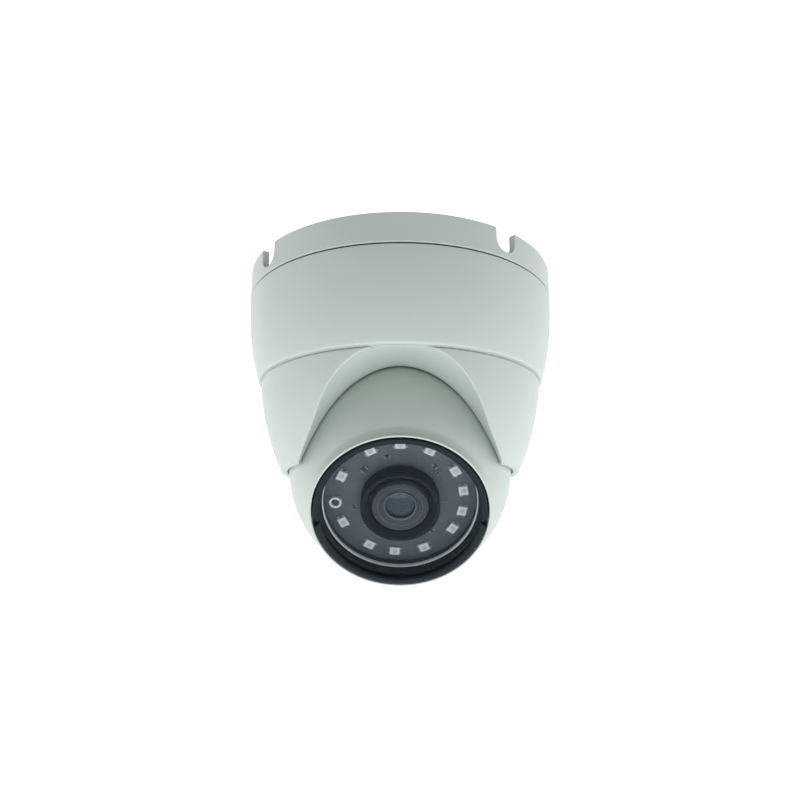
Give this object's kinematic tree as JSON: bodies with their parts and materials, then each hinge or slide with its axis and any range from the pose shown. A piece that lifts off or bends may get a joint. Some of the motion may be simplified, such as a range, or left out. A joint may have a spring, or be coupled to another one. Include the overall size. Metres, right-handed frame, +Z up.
{
  "type": "dome security camera",
  "caption": "Ceiling dome camera whose eyeball pans, tilts and rolls behind an arched cut-out, with a ring of infrared lights round its lens.",
  "frame": {"origin": "centre of the plane that lies on the ceiling, so the camera hangs below the origin", "axes": "+Z up through the ceiling and along the pan axis, -Y towards the side that the lens faces at rest, +X to the right seen from the front"},
  "size_m": [0.0936, 0.0936, 0.093],
  "materials": {
    "shell_paint": "satin pale grey-green white powder coat",
    "bezel_black": "semi-gloss blue-black",
    "window_glass": "clear, polished",
    "rubber": "matte black",
    "steel": "plated, satin",
    "polymer": "natural acetal",
    "black_matte": "matte black",
    "aluminium": "satin",
    "circuit_board": "dark solder mask",
    "led_package": "pale ceramic with a clear emitter",
    "chip": "matte moulded",
    "lens_glass": "dark coated glass",
    "foam": "closed-cell foam"
  },
  "bodies": {
    "base": {"mounting_base": "shell_paint", "base_gasket": "rubber", "body_ring": "shell_paint", "ring_screw_1": "steel", "ring_screw_2": "steel", "ring_screw_3": "steel", "pan_washer": "polymer", "cable_grommet": "rubber", "lock_screw": "steel"},
    "dome": {"dome_cover": "shell_paint", "pan_retainer": "steel", "retainer_screw_1": "steel", "retainer_screw_2": "steel", "retainer_screw_3": "steel", "seat_ring": "polymer", "seat_spring": "steel", "seat_plate": "steel"},
    "ball": {"ball_front_shell": "shell_paint", "ball_rear_shell": "shell_paint", "ball_seal": "rubber", "ball_grommet": "rubber", "pivot_pin_right": "steel", "pivot_pin_left": "steel", "ball_screw_1": "steel", "ball_screw_2": "steel"},
    "module": {"bezel": "bezel_black", "window_glass": "window_glass", "window_seal": "rubber", "baffle_ring": "black_matte", "led_retainer": "aluminium", "led_board": "circuit_board", "lens_sleeve": "foam", "ir_led_01": "led_package", "ir_led_02": "led_package", "ir_led_03": "led_package", "ir_led_04": "led_package", "ir_led_05": "led_package", "ir_led_06": "led_package", "ir_led_07": "led_package", "ir_led_08": "led_package", "ir_led_09": "led_package", "ir_led_10": "led_package", "ir_led_11": "led_package", "ir_led_12": "led_package", "light_sensor": "chip", "lens_barrel": "black_matte", "lens_front_glass": "lens_glass", "lens_holder": "black_matte", "ir_filter": "lens_glass", "image_sensor": "chip", "sensor_board": "circuit_board", "power_board": "circuit_board", "board_connector": "chip", "pigtail_socket": "polymer", "module_housing": "aluminium", "module_retainer": "steel", "led_harness": "rubber", "standoff_1": "steel", "standoff_2": "steel"}
  },
  "joints": [
    {"name": "pan", "type": "hinge", "parent": "base", "child": "dome", "pos_m": [0, 0, -0.0332], "axis": [0, 0, 1], "range_deg": [-175, 175]},
    {"name": "tilt", "type": "hinge", "parent": "dome", "child": "ball", "pos_m": [0, 0, -0.059], "axis": [1, 0, 0], "range_deg": [-25.7, 49.3]},
    {"name": "roll", "type": "hinge", "parent": "ball", "child": "module", "pos_m": [0, 0, -0.059], "axis": [0, -0.7581, -0.6521], "range_deg": [-170, 170]}
  ]
}
